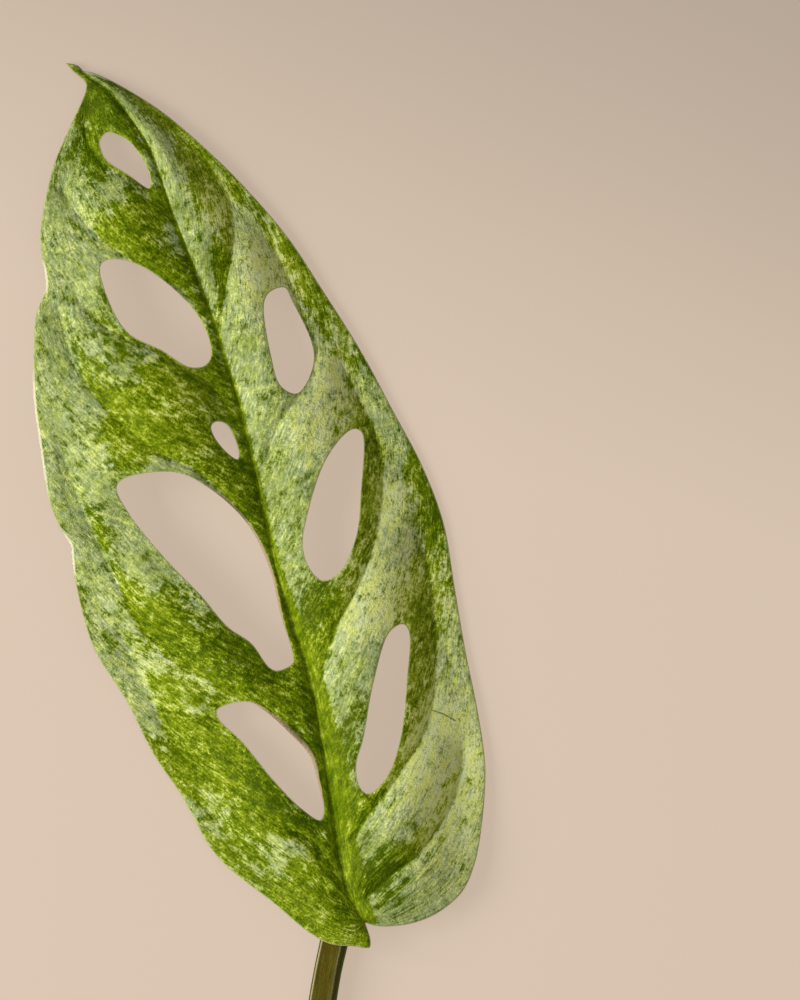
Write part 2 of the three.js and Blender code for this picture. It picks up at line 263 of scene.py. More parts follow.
def bend_through(knots, spacing, closed=False):
    """Evenly spaced points on a smooth curve through the knots (centripetal Catmull-Rom)."""
    knots = np.array(knots, float)
    if closed:
        padded = np.vstack([knots[-1], knots, knots[:2]])
    else:
        padded = np.vstack([2 * knots[0] - knots[1], knots, 2 * knots[-1] - knots[-2]])
    fine = []
    for p0, p1, p2, p3 in zip(padded, padded[1:], padded[2:], padded[3:]):
        t1 = np.linalg.norm(p1 - p0) ** 0.5
        t2 = t1 + np.linalg.norm(p2 - p1) ** 0.5
        t3 = t2 + np.linalg.norm(p3 - p2) ** 0.5
        t = np.linspace(t1, t2, 16, endpoint=False)[:, None]
        a1 = ((t1 - t) * p0 + t * p1) / t1
        a2 = ((t2 - t) * p1 + (t - t1) * p2) / (t2 - t1)
        a3 = ((t3 - t) * p2 + (t - t2) * p3) / (t3 - t2)
        b1 = ((t2 - t) * a1 + t * a2) / t2
        b2 = ((t3 - t) * a2 + (t - t1) * a3) / (t3 - t1)
        fine.append(((t2 - t) * b1 + (t - t1) * b2) / (t2 - t1))
    fine = np.vstack(fine + [knots[:1] if closed else knots[-1:]])
    walked = np.append(0, np.cumsum(np.linalg.norm(np.diff(fine, axis=0), axis=1)))
    marks = np.linspace(0, walked[-1], max(2, round(walked[-1] / spacing)) + 1)
    return np.column_stack([np.interp(marks, walked, column) for column in fine.T])


def measure(points, curve):
    """How far each point is from a curve, how far along it the nearest place is, and on which
    side of it the point lies (1 to the left of the way the curve runs, -1 to the right)."""
    nearest = np.full(len(points), np.inf)
    place = np.zeros(len(points))
    side = np.ones(len(points))
    walked = 0.0
    for start, end in zip(curve[:, :2], curve[1:, :2]):
        step = end - start
        length = np.hypot(*step)
        offset = points - start
        along = np.clip(offset @ step / length**2, 0, 1)
        gap = np.hypot(offset[:, 0] - along * step[0], offset[:, 1] - along * step[1])
        closer = gap < nearest
        nearest[closer] = gap[closer]
        place[closer] = walked + along[closer] * length
        side[closer] = np.sign(step[0] * offset[closer, 1] - step[1] * offset[closer, 0])
        walked += length
    return nearest, place, side


def height_near(points, curve):
    """The height that a curve carries, as felt beside it: nearer stretches count for more."""
    gaps = np.hypot(points[:, :1] - curve[:, 0], points[:, 1:2] - curve[:, 1])
    weights = 1 / (gaps**4 + 1e-3)
    return weights @ curve[:, 2] / weights.sum(axis=1)


def ramp(low, high, value):
    """0 below low, 1 above high, and a smooth step between them."""
    t = np.clip((value - low) / (high - low), 0, 1)
    return t * t * (3 - 2 * t)


midrib = bend_through(MIDRIB, 1.0)
right_margin = bend_through(RIGHT_MARGIN, 0.4)
left_margin = bend_through(LEFT_MARGIN, 0.4)
side_veins = {name: bend_through(vein, 1.0) for name, vein in SIDE_VEINS.items()}
outline = np.vstack([right_margin[:, :2], left_margin[-2:0:-1, :2]])
loops = [outline] + [bend_through(hole, 0.35, closed=True)[:-1] for hole in HOLES]
closed_loops = [np.vstack([loop, loop[:1]]) for loop in loops]


def inside_blade(points):
    """True where a point is on the blade: inside its outline and in none of its holes."""
    inside = np.zeros(len(points), bool)
    for loop in closed_loops:
        for (x0, y0), (x1, y1) in zip(loop, loop[1:]):
            spans = (y0 > points[:, 1]) != (y1 > points[:, 1])
            if y0 != y1:
                crossing = x0 + (points[:, 1] - y0) * (x1 - x0) / (y1 - y0)
                inside ^= spans & (points[:, 0] < crossing)
    return inside


loop_corners = np.vstack(loops)
before = np.vstack([np.roll(loop, 1, axis=0) for loop in loops])
after = np.vstack([np.roll(loop, -1, axis=0) for loop in loops])
corner_tree = KDTree(len(loop_corners))
for corner_index, corner in enumerate(loop_corners):
    corner_tree.insert((*corner, 0), corner_index)
corner_tree.balance()


def edge_distance(points):
    """Distance from each point to the nearest edge of the blade, margin or hole."""
    nearest = np.array([corner_tree.find((x, y, 0))[1] for x, y in points])
    gaps = []
    for start, end in ((before, loop_corners), (loop_corners, after)):
        step = (end - start)[nearest]
        offset = points - start[nearest]
        along = np.clip((offset * step).sum(axis=1) / (step**2).sum(axis=1), 0, 1)
        gaps.append(np.hypot(*(offset - along[:, None] * step).T))
    return np.minimum(*gaps)


RING_OFFSETS = (0.05, 0.13, 0.27, 0.52)
CELL = 0.46
CREASE_STEP = 0.4
CREASE_OFFSETS = (-0.22, 0.0, 0.22)


def plan_points():
    """The plan's corners: its edges, rings that follow them inside, and an even filling."""
    edges = []
    points = loop_corners.tolist()
    for loop in loops:
        first = len(edges)
        count = len(loop)
        edges += [(first + i, first + (i + 1) % count) for i in range(count)]
    along_edge = after - before
    across_edge = np.column_stack([-along_edge[:, 1], along_edge[:, 0]])
    across_edge /= np.linalg.norm(across_edge, axis=1)[:, None]
    for offset in RING_OFFSETS:
        for ring in (loop_corners + across_edge * offset, loop_corners - across_edge * offset):
            fits = inside_blade(ring) & (edge_distance(ring) > offset * 0.96)
            points += ring[fits].tolist()
    low, high = outline.min(axis=0), outline.max(axis=0)
    rows = np.arange(low[1], high[1], CELL * math.sqrt(0.75))
    columns = np.arange(low[0], high[0], CELL)
    grid = np.array([(x + (i % 2) * CELL / 2, y) for i, y in enumerate(rows) for x in columns])
    grid = grid[edge_distance(grid) > RING_OFFSETS[-1] + CELL * 0.6]
    creases = []
    for line in [midrib[:, :2], *side_veins.values(), SCAR]:
        line = bend_through(line, CREASE_STEP)
        sideways = np.gradient(line, axis=0)[:, ::-1] * (-1, 1)
        sideways /= np.linalg.norm(sideways, axis=1)[:, None]
        creases += [line + sideways * offset for offset in CREASE_OFFSETS]
    creases = np.vstack(creases)
    creases = creases[inside_blade(creases) & (edge_distance(creases) > RING_OFFSETS[-1] * 1.3)]
    crease_tree = KDTree(len(creases))
    kept_creases = []
    for crease_index, (x, y) in enumerate(creases):
        crease_tree.insert((x, y, 0), crease_index)
    crease_tree.balance()
    for crease_index, (x, y) in enumerate(creases):
        near = crease_tree.find_range((x, y, 0), CREASE_OFFSETS[-1] * 0.7)
        if min(other for _, other, _ in near) == crease_index:
            kept_creases.append((x, y))
    points += kept_creases
    grid = grid[inside_blade(grid)]
    points += [(x, y) for x, y in grid if crease_tree.find((x, y, 0))[2] > CELL * 0.7]
    return np.array(points), edges


points, edges = plan_points()
plan, _, triangles, _, _, _ = delaunay_2d_cdt([Vector(p) for p in points], edges, [], 0, 1e-5)
plan = np.array([tuple(p) for p in plan])
triangles = np.array(triangles)
from_edge = edge_distance(plan)
spanning = (from_edge[triangles] < 1e-4).all(axis=1)
kept = ~spanning
kept[spanning] = inside_blade(plan[triangles[spanning]].mean(axis=1))
triangles = triangles[kept]

from_midrib, _, half_sign = measure(plan, midrib)
right_half = half_sign > 0
from_margin = np.where(right_half, measure(plan, right_margin)[0], measure(plan, left_margin)[0])
measured = {name: measure(plan, vein) for name, vein in side_veins.items()}
vein_gaps = np.array([gap for gap, _, _ in measured.values()])
vein_places = np.array([place for _, place, _ in measured.values()])
# The gaps to all veins melt into one, so that the valleys of two veins join smoothly.
from_vein = ((vein_gaps + 1e-3) ** -4.0).sum(axis=0) ** -0.25
towards_tip = np.clip(plan[:, 1] / NOTCH_TO_TIP, 0, 1)


def relief():
    """Height of the upper side above the table at each point of the plan."""
    width = from_midrib + from_margin
    share = from_midrib / np.maximum(width, 1e-6)
    margin_height = np.where(right_half, height_near(plan, right_margin[::4]),
                             height_near(plan, left_margin[::4]))
    base = height_near(plan, midrib)
    base = base + (margin_height - base) * ramp(0, 1, share)
    # One half of the arch peaks midway, the other a third of the way out from the midrib.
    arch = 0.5 * np.sin(np.pi * share) + 0.5 * 27 / 4 * share * (1 - share) ** 2
    crest = np.where(right_half, RIGHT_CREST, LEFT_CREST) * width * arch
    fade = np.clip(from_midrib / PILLOW_REACH, 0, 1) * np.clip(from_margin / PILLOW_REACH, 0, 1)
    valley = PILLOW_DEPTH * np.exp(-from_vein / PILLOW_REACH) * fade
    groove = GROOVE_DEPTH * np.exp(-((from_vein / GROOVE_WIDTH) ** 2)) * fade
    channel_width = np.interp(towards_tip, CHANNEL_AT, CHANNEL_WIDTHS)
    channel = channel_width * CHANNEL_DEPTH * np.exp(-from_midrib / channel_width)
    sag = np.zeros(len(plan))
    for edge in ROLLED_DOWN:
        gap = measure(plan, np.array(edge))[0]
        sag = np.maximum(sag, ROLL_DEPTH * np.exp(-((gap / ROLL_REACH) ** 2)))
    wide, long = RIPPLE_SIZE
    ripples = [smooth_noise(Vector((x / wide, y / long, 3.1))) for x, y in plan]
    pebbles = [smooth_noise(Vector((x / PEBBLE_SIZE, y / PEBBLE_SIZE, 7.7))) for x, y in plan]
    uneven = RIPPLE_HEIGHT * np.array(ripples) + PEBBLE_HEIGHT * np.array(pebbles)
    return base + crest - valley - groove - channel - sag + uneven * fade


# The outermost strip of every edge turns down, most of all where a hole comes near the midrib.
EDGE_ROLL = 0.15
EDGE_ROLL_REACH = 0.6
RIB_ROLL = 0.75
RIB_ROLL_REACH = 3.0
upper = relief()
roll = RIB_ROLL * np.exp(-((from_midrib / RIB_ROLL_REACH) ** 2)) + EDGE_ROLL
upper -= roll * np.clip(1 - from_edge / EDGE_ROLL_REACH, 0, 1) ** 2

# Beneath, the midrib stands out as a keel that loses width and height towards the tip, and each
# side vein as a ridge that fades along its way.
KEEL_WIDTH = 2.0
KEEL_NARROWS_BY = 1.4
KEEL_HEIGHT = 2.2
KEEL_LOWERS_BY = 1.9
VEIN_RIDGE = 0.45
VEIN_RIDGE_WIDTH = 0.55
VEIN_RIDGE_LENGTH = 90
RIB_CLEARANCE = 1.2
keel_width = KEEL_WIDTH - KEEL_NARROWS_BY * towards_tip
keel_height = KEEL_HEIGHT - KEEL_LOWERS_BY * towards_tip
keel = keel_height * np.exp(-((from_midrib / keel_width) ** 2))
vein_ridge = VEIN_RIDGE * np.exp(-((from_vein / VEIN_RIDGE_WIDTH) ** 2))
vein_ridge = vein_ridge * np.exp(-vein_places.min(axis=0) / VEIN_RIDGE_LENGTH)
rounded = np.sqrt(np.clip(1 - np.clip(1 - from_edge / EDGE_ROUNDING, 0, 1) ** 2, 0, 1))
thickness = rounded * BLADE_THICKNESS
rib = np.maximum(keel, vein_ridge) * ramp(0.0, RIB_CLEARANCE, from_edge)
lower = upper - thickness - rib

# Streaks run with the veins, which leave the midrib at a slant and bend towards the tip. The
# guide "across" stays the same along such a line, which climbs this far from the midrib to the
# margin and most of all close to it. Lines lie closer together than their starts on the midrib.
STREAK_CLIMB = 38
STREAK_BEND = 10
STREAK_CROWDING = 1.7
share = from_midrib / np.maximum(from_midrib + from_margin, 1e-6)
across = (plan[:, 1] - STREAK_CLIMB * share - STREAK_BEND * share**5) / STREAK_CROWDING

# The skin is green where it holds pigment and silvery mint where an air layer lifts it. The silver
# also holds painted sheen on slopes facing the window, and the paleness holds painted light and shade.
# Silver, partly painted sheen, starts on the outer side of a vein, and green, partly painted shade,
# builds up towards its inner side. Each tint has its vein, its side (1 is the left of the way the vein
# runs), its reach in mm where the vein starts and where it ends, and how much silver and paleness it
# adds.
VEIN_TINTS_SHEEN_AND_SHADE = [
    ("right 1", 1, 3.0, 3.0, -0.7, 0.06), ("right 1", -1, 3.0, 5.0, 0.3, 0.06),
    ("right 3", 1, 5.0, 3.0, -0.9, 0.03), ("right 3", -1, 6.0, 4.0, 0.4, 0.14),
    ("right 4", 1, 3.5, 4.0, -1.1, 0.03), ("right 4", -1, 5.0, 7.0, 0.35, 0.12),
    ("right 5", 1, 3.5, 2.0, -1.0, -0.03), ("right 5", -1, 3.0, 5.0, 0.35, 0.12),
    ("left 1", -1, 3.0, 4.0, -0.6, -0.1), ("left 2", -1, 4.0, 4.5, -0.7, -0.08),
    ("left 3", -1, 4.0, 0.5, -0.5, -0.05), ("left 4", -1, 9.0, 8.0, -0.8, -0.04),
    ("left 4", 1, 4.0, 5.0, 0.1, 0.04), ("left 5", -1, 9.0, 1.4, -1.0, -0.08),
    ("left 5", 1, 3.0, 6.0, -0.1, 0.04), ("left 6", -1, 9.0, 5.0, -0.9, -0.06),
]
# Patches, from the tip down: where, how far they reach in mm, and the silver and paleness that
# they add. They paint variegation together with painted sheen, light and shade.
VARIEGATION_AND_PAINTED_LIGHT_PATCHES = [
    ((3, 146), 3, -0.4, -0.3), ((0, 145), 5, -0.6, -0.3), ((5, 140), 3, 0, -0.14),
    ((10, 140), 4, -0.4, -0.06), ((-2, 133), 5, -0.7, -0.24), ((7.5, 133), 3, 0.6, 0.12),
    ((-10, 132), 5, -0.1, -0.18), ((14.5, 131), 3, -0.5, 0.05), ((1, 130), 2.5, 0.5, 0.15),
    ((-5, 128), 5, 0.25, 0.05), ((-2, 128), 2.5, 0, -0.15), ((7, 128), 3, 1.0, 0.14),
    ((18, 127), 4, -0.3, -0.12), ((-6, 126), 6, 0.2, 0.1), ((2, 123), 5, -0.6, 0),
    ((10, 122), 2.5, 0, -0.14), ((18.5, 122), 3, -0.5, -0.1), ((9.8, 121), 3, 0, -0.2),
    ((14.5, 121), 4, 0, 0.4), ((6, 118), 3.5, 0.4, 0.1), ((10.5, 116), 5, 0.3, 0),
    ((-12, 114), 6, 0.3, 0.03), ((-6, 110.5), 3, -0.7, -0.45), ((6, 110), 3, 0.3, 0.1),
    ((12, 110), 5, -0.05, -0.4), ((25.5, 110), 3.5, -0.3, -0.45), ((20, 108), 6, 0.15, 0.8),
    ((6, 105), 4, 0.4, 0), ((-15, 104), 5, -0.1, -0.14), ((27, 103), 4, -0.3, -0.2),
    ((-9, 99), 3.5, 0.4, -0.02), ((16, 99), 4, 0, 0.12), ((-20, 98), 7, 0.3, 0.02),
    ((10, 98), 4, 0, -0.2), ((1, 96), 5, -0.7, 0), ((-7, 91), 5, -0.4, 0.06),
    ((-11.5, 90), 5, -0.6, -0.08), ((0, 90), 5, 0.1, 0.2), ((26, 89), 4, 0.2, 0.5),
    ((31, 88.5), 3.5, -0.2, -0.4), ((-15, 87), 3, 0, 0.14), ((-9, 86), 3.5, -0.6, 0),
    ((12, 82), 6, 0.4, -0.02), ((21, 81), 6, 0.05, 0.44), ((10, 80), 3, 0, -0.12),
    ((-22, 78), 6, 0.15, -0.02), ((2, 75), 4, 0.3, 0.2), ((27, 75), 4, -1.0, -0.2),
    ((36, 75), 2.2, -0.9, -0.3), ((26.5, 74), 3, -1.0, 0), ((30, 73.5), 2.5, 0.2, 0.16),
    ((-16, 70), 5, 0.5, 0.02), ((9, 70), 6, -0.1, -0.18), ((-20, 69), 3.5, 0.1, -0.1),
    ((35, 68), 5, -0.9, -0.3), ((-27, 65), 4, -0.6, -0.36), ((-22, 65), 6, 0.2, 0.2),
    ((29.5, 65), 5, 0.25, 0.42), ((-10, 61), 4, -0.3, 0), ((35, 61), 4, -1.0, -0.4),
    ((-17, 57), 3.5, -0.4, -0.1), ((17, 56), 3, 0.4, 0.2), ((11, 53), 5, -0.5, -0.42),
    ((25, 53), 6, 0, 0.3), ((31, 51), 6.5, -0.55, -0.04), ((-4, 50), 5, -0.5, -0.24),
    ((-20, 49), 5.5, 0.7, 0.22), ((14, 48), 4, 0.2, 0.08), ((20, 48), 5, 0, 0.34),
    ((-22, 45), 3, 0.5, 0), ((31, 44), 6, -0.2, 0.1), ((27, 43), 4, -0.6, -0.12),
    ((-15, 41), 6, 0.3, 0.04), ((3, 38), 5, 0, 0.1), ((24, 34), 6, -0.4, 0.02),
    ((-17, 33), 5, -0.3, -0.06), ((10, 33), 6, -0.5, -0.32), ((-14, 28), 5, 0.2, 0.1),
    ((26, 28), 8, 0.3, 0.28), ((-4, 26), 6, -0.6, -0.32), ((10, 26), 3.5, -0.3, -0.14),
    ((-20, 24), 3, 0.5, 0.06), ((4, 24), 5, -0.2, -0.18), ((27, 22), 6, 0, 0.2),
    ((-1, 20), 3, -0.3, -0.24), ((24, 19), 7, 0, 0.55), ((7, 18), 4, -0.2, -0.18),
    ((13, 18), 4, 0.3, 0.16), ((-5, 15), 4, 0.5, 0.12), ((6, 13), 6, 0, -0.1),
    ((-12, 12), 4, 0.15, -0.06), ((-4, 12), 5, 0.05, 0.03), ((14, 11), 4, 0, 0.12),
    ((7, 9), 4, -0.1, -0.2), ((22, 8), 7, 0.2, 0.2), ((-8, 6), 6, -0.3, -0.1),
    ((8, 5), 5, -0.9, -0.42), ((20, 2), 7, 0, 0.16), ((2, -1), 5, 0.1, 0.12),
]
# The midrib's own tissue has no silver. It is this wide beside its middle line, in mm, at a
# number of distances from the notch.
RIB_AT = (0, 9, 20, 45, 70, 100, 150)
RIB_RIGHT = (1.6, 2.8, 3.2, 1.7, 0.4, 0.15, 0.15)
RIB_LEFT = (0.8, 1.1, 1.3, 1.0, 0.6, 0.3, 0.15)
rib_reach = np.where(right_half, np.interp(plan[:, 1], RIB_AT, RIB_RIGHT),
                     np.interp(plan[:, 1], RIB_AT, RIB_LEFT))
rib_green = 1 - ramp(0.6, 1.4, from_midrib / rib_reach)


MOST_SILVER_AND_SHEEN = 0.72
LEAST_PALE = -0.3
MOST_PALE = 0.5
RIGHT_PALE = 0.04
LEFT_PALE = 0.02
RIGHT_BLUR = 0.3
LEFT_BLUR = 1.1


def variegation_sheen_and_shade():
    """How silvery and how pale the skin is at each point of the plan, painted sheen, light and shade
    included.
    """
    up_leaf = plan[:, 1]
    # The right half is silvery but for its margin near the tip, the left one more so up the leaf.
    # The green at the right margin near the tip, and the darker green beside the midrib on the left,
    # are partly painted shade.
    silver_and_sheen = np.where(right_half, MOST_SILVER_AND_SHEEN, 0.2 + 0.5 * ramp(30, 70, up_leaf))
    silver_and_sheen -= 0.4 * ramp(0.62, 0.9, share) * np.where(right_half, ramp(70, 95, up_leaf), 0)
    silver_and_sheen -= 0.6 * np.where(right_half, 0, np.exp(-((from_midrib / 6.0) ** 2)))
    left_pale = LEFT_PALE - 0.1 * np.exp(-((from_midrib / 5.0) ** 2))
    pale_and_painted_light = np.where(right_half, RIGHT_PALE, left_pale)
    # Towards the tip a silver line, partly painted sheen, runs down the right of the midrib, with
    # green beside it.
    beside_rib = np.where(right_half, ramp(98, 112, up_leaf), 0)
    silver_and_sheen += 0.5 * beside_rib * np.exp(-((from_midrib / 1.1) ** 2))
    silver_and_sheen -= 0.35 * beside_rib * np.exp(-(((from_midrib - 5) / 2.5) ** 2))
    for name, side, first_reach, last_reach, more_silver_and_sheen, more_pale in VEIN_TINTS_SHEEN_AND_SHADE:
        gap, place, half = measured[name]
        on_right = name.startswith("right")
        reach = first_reach + (last_reach - first_reach) * place / place.max()
        blur = RIGHT_BLUR if on_right else LEFT_BLUR
        felt = ramp(-blur, blur, gap * half * side) * np.exp(-((gap / reach) ** 2))
        felt *= right_half == on_right
        felt *= 1 - ramp(0.78, 1.0, place / place.max())
        silver_and_sheen += more_silver_and_sheen * felt
        pale_and_painted_light += more_pale * felt
    for centre, reach, more_silver_and_sheen, more_pale in VARIEGATION_AND_PAINTED_LIGHT_PATCHES:
        felt = np.exp(-(((plan - centre) ** 2).sum(axis=1)) / reach**2)
        silver_and_sheen += more_silver_and_sheen * felt
        pale_and_painted_light += more_pale * felt
    silver_and_sheen -= 1.2 * rib_green
    pale_and_painted_light = pale_and_painted_light * (1 - 0.7 * rib_green) - 0.03 * rib_green
    silver_and_sheen = np.clip(silver_and_sheen, 0.0, MOST_SILVER_AND_SHEEN) - 0.35 * rib_green
    return silver_and_sheen, np.clip(pale_and_painted_light, LEAST_PALE, MOST_PALE)


silver_and_sheen, pale_and_painted_light = variegation_sheen_and_shade()

# Here and there the clear rim is wider and catches the light, a painted highlight: where, and how far
# it reaches.
PAINTED_RIM_HIGHLIGHTS = [((-24.5, 94), 11), ((-26, 73), 4), ((3.0, 148.6), 2.6), ((-15.5, 118), 3)]
bright_rim = np.zeros(len(plan))
for centre, reach in PAINTED_RIM_HIGHLIGHTS:
    felt = np.exp(-(((plan - centre) ** 2).sum(axis=1)) / reach**2)
    same_half = right_half == (centre[0] > 0)
    bright_rim = np.maximum(bright_rim, felt * same_half)

# The two big left holes dried back a little along their upper edges: the tan rim starts and
# ends narrow and is this wide halfway.
TAN_EDGES = [([(-3, 79), (1.5, 74), (4.2, 69), (5.5, 61.5), (5, 52), (4.5, 45)], 0.55),
             ([(-6, 41), (-2.5, 38.5), (0.5, 33.5), (2.5, 29), (2.5, 24.5), (2, 19.5)], 0.85)]
tan_rim = np.zeros(len(plan))
for tan_edge, widest in TAN_EDGES:
    gap, place, _ = measure(plan, bend_through(tan_edge, 0.5))
    width = widest * np.sin(np.pi * np.clip(place / place.max(), 0.02, 0.98))
    near = gap < 2.0
    tan_rim = np.where(near, np.maximum(tan_rim, 1 - ramp(0.6, 1.2, from_edge / width)), tan_rim)


def sheet_mesh():
    """The closed blade: an upper and a lower sheet that meet along every edge."""
    count = len(plan)
    on_edge = from_edge < 1e-4
    below = np.where(on_edge, np.arange(count), 0)
    below[~on_edge] = count + np.arange((~on_edge).sum())
    top = np.column_stack([plan, upper])
    top[on_edge, 2] = (upper - thickness / 2)[on_edge]
    bottom = np.column_stack([plan, lower])[~on_edge]
    corners = np.vstack([top, bottom])
    corners[:, 2] -= lower.min()
    turned = np.cross(plan[triangles[:, 1]] - plan[triangles[:, 0]],
                      plan[triangles[:, 2]] - plan[triangles[:, 0]]) < 0
    faces = np.where(turned[:, None], triangles[:, ::-1], triangles)
    mesh = bpy.data.meshes.new("monstera_leaf_blade")
    mesh.from_pydata(corners.tolist(), [], faces.tolist() + below[faces[:, ::-1]].tolist())
    pick = np.concatenate([np.arange(count), np.arange(count)[~on_edge]])
    mesh.polygons.foreach_set("material_index", np.repeat([0, 1], len(faces)).astype(np.int32))
    return mesh, pick


blade_mesh, plan_of = sheet_mesh()


def store(mesh, name, values):
    """Keeps one number for each corner of a mesh, for its finish to read."""
    attribute = mesh.attributes.new(name, "FLOAT", "POINT")
    attribute.data.foreach_set("value", np.asarray(values, np.float32))


# The silver and paleness guides carry painted sheen, light and shade along with the variegation.
guides = {
    "across": across, "along": plan[:, 1], "from_edge": from_edge,
    "from_midrib": from_midrib * half_sign, "from_vein": from_vein, "silver_and_sheen": silver_and_sheen, "pale_and_painted_light": pale_and_painted_light,
    "rib_green": rib_green, "from_scar": measure(plan, np.array(SCAR))[0], "tan_rim": tan_rim,
    "bright_rim": bright_rim,
}
for name, values in guides.items():
    store(blade_mesh, name, values[plan_of])

# ---- Stalk ----
# The stalk leaves the blade under the left lobe as a short swollen joint, then runs slim to the
# cut. Its upper face is a shallow papery channel between two thin lips, and its flanks are green.

# Where the stalk's middle runs and its radius there, in mm.
STALK = [
    (2.6, 9.5, 4.9, 0.7), (1.4, 5.6, 4.1, 1.7), (-0.7, 1.9, 3.6, 2.45), (-3.2, -2.5, 3.0, 2.35),
    (-5.6, -6.7, 2.5, 2.3), (-9, -13.5, 2.4, 2.35), (-17, -32, 2.55, 2.55), (-24, -60, 2.8, 2.8),
]
STALK_SIDES = 72
STALK_STEP = 0.3
FACE_TURN = 0.25
FACE_SPREAD = 0.8
FACE_DEPTH = 0.16
LIP_HEIGHT = 0.1
LIP_WIDTH = 0.07
WING_START = 15.0
WING_HEIGHT = 0.42
JOINT_LENGTH = 13.0
FLANK_RIBS = 13
FLANK_RIB_HEIGHT = 0.035
WRINKLE_HEIGHT = 0.09
CUT_BEVEL = 0.25


def stalk_mesh():
    """The closed stalk with, for each corner, its turn from the face and its way down."""
    rings = bend_through(STALK, STALK_STEP)
    middles, radii = rings[:, :3], rings[:, 3]
    down = np.append(0, np.cumsum(np.linalg.norm(np.diff(middles, axis=0), axis=1)))
    heading = np.gradient(middles, axis=0)
    heading /= np.linalg.norm(heading, axis=1)[:, None]
    left = np.cross(heading, (0, 0, 1))
    left /= np.linalg.norm(left, axis=1)[:, None]
    up = np.cross(left, heading)
    angles = np.arange(STALK_SIDES) / STALK_SIDES * 2 * np.pi
    turns = (angles - FACE_TURN + np.pi) % (2 * np.pi) - np.pi
    in_face = np.abs(turns) < FACE_SPREAD
    face = np.where(in_face, math.cos(FACE_SPREAD) / np.cos(np.clip(turns, -1.2, 1.2)), 1.0)
    hollow = FACE_DEPTH * np.clip(1 - (turns / FACE_SPREAD) ** 2, 0, 1)
    left_lip = np.exp(-(((turns - FACE_SPREAD) / LIP_WIDTH) ** 2))
    right_lip = np.exp(-(((turns + FACE_SPREAD) / LIP_WIDTH) ** 2))
    # The channel and its lips grow out of the round joint, and the lips sink before the cut.
    grown = ramp(2.0, 9.0, down)
    lips = grown * ramp(0.0, 3.0, down[-1] - down)
    wing = ramp(WING_START, WING_START + 5, down) * lips
    joint = 1 - ramp(JOINT_LENGTH - 5, JOINT_LENGTH, down)
    wrinkles = [smooth_noise(Vector((0.9 * d, 4.2, 0.0))) for d in down]
    corners = []
    for i, (middle, radius) in enumerate(zip(middles, radii)):
        size = radius * (1 + (face - 1) * 0.8 * grown[i]) - hollow * grown[i]
        size = size + LIP_HEIGHT * (left_lip + right_lip) * lips[i]
        size = size + (WING_HEIGHT - LIP_HEIGHT) * right_lip * wing[i]
        size = size + WRINKLE_HEIGHT * wrinkles[i] * joint[i] * np.cos(turns / 2)
        flank_rib = np.sin(FLANK_RIBS * turns + 0.5 * np.sin(down[i] / 6))
        size = size + FLANK_RIB_HEIGHT * flank_rib * (~in_face)
        outward = np.cos(angles)[:, None] * up[i] + np.sin(angles)[:, None] * left[i]
        corners.append(middle + size[:, None] * outward)
    # The cut end is bevelled, dips a little and closes in its middle.
    end, last = middles[-1], corners[-1]
    for share, forward in ((0.965, CUT_BEVEL), (0.9, CUT_BEVEL * 1.1), (0.6, 0.12), (0.3, 0.05)):
        corners.append(end + (last - end) * share + heading[-1] * forward)
    rows = len(corners)
    corners = np.vstack(corners + [end[None], middles[:1]])
    faces = []
    for i in range(rows - 1):
        for j in range(STALK_SIDES):
            a, b = i * STALK_SIDES + j, i * STALK_SIDES + (j + 1) % STALK_SIDES
            faces.append((a, b, b + STALK_SIDES, a + STALK_SIDES))
    tip, root = len(corners) - 2, len(corners) - 1
    for j in range(STALK_SIDES):
        a, b = (rows - 1) * STALK_SIDES + j, (rows - 1) * STALK_SIDES + (j + 1) % STALK_SIDES
        faces += [(a, b, tip), ((j + 1) % STALK_SIDES, j, root)]

    def for_corners(along_stalk, on_cut, at_tip_and_root):
        """One value for each corner: ring by ring down the stalk, over the cut, then the ends."""
        return np.append(np.repeat(np.append(along_stalk, on_cut), STALK_SIDES), at_tip_and_root)

    whole = np.ones(len(middles))
    guides = {
        "turn": np.append(np.tile(turns, rows), [0, 0]),
        "down_stalk": for_corners(down, 4 * [down[-1]], [down[-1], 0]),
        "cut": for_corners(0 * whole, [0.3, 1, 1, 1], [1, 0]),
        "out": for_corners(whole, [1, 0.9, 0.6, 0.3], [0, 0]),
    }
    return corners, faces, guides


stalk_corners, stalk_faces, stalk_guides = stalk_mesh()
stalk = bpy.data.meshes.new("monstera_leaf_stalk")
stalk.from_pydata(stalk_corners.tolist(), [], stalk_faces)
stalk.polygons.foreach_set("material_index", np.full(len(stalk_faces), 2, np.int32))
for name, values in stalk_guides.items():
    store(stalk, name, values)

# The joint grows out of the blade without a seam, so the two solids are united.
for mesh in (blade_mesh, stalk):
    for finish in ("leaf_upper_skin", "leaf_lower_skin", "stalk_skin"):
        mesh.materials.append(bpy.data.materials.get(finish) or bpy.data.materials.new(finish))
leaf = bpy.data.objects.new("leaf", blade_mesh)
stalk_object = bpy.data.objects.new("stalk", stalk)
for piece in (leaf, stalk_object):
    scene.collection.objects.link(piece)
union = leaf.modifiers.new("union", "BOOLEAN")
union.operation = "UNION"
union.solver = "MANIFOLD"
union.object = stalk_object
bpy.context.view_layer.update()
leaf_mesh = bpy.data.meshes.new_from_object(leaf.evaluated_get(bpy.context.evaluated_depsgraph_get()))
leaf.modifiers.clear()
leaf.data = leaf_mesh
bpy.data.objects.remove(stalk_object)
corners = np.empty(3 * len(leaf_mesh.vertices), np.float32)
leaf_mesh.vertices.foreach_get("co", corners)
corners = corners.reshape(-1, 3)
corners[:, 2] -= corners[:, 2].min() - leaf_low.z / MM
leaf_mesh.vertices.foreach_set("co", ((corners + np.array(NOTCH)) * MM).ravel())
leaf_mesh.polygons.foreach_set("use_smooth", np.ones(len(leaf_mesh.polygons), bool))
leaf_mesh.update()

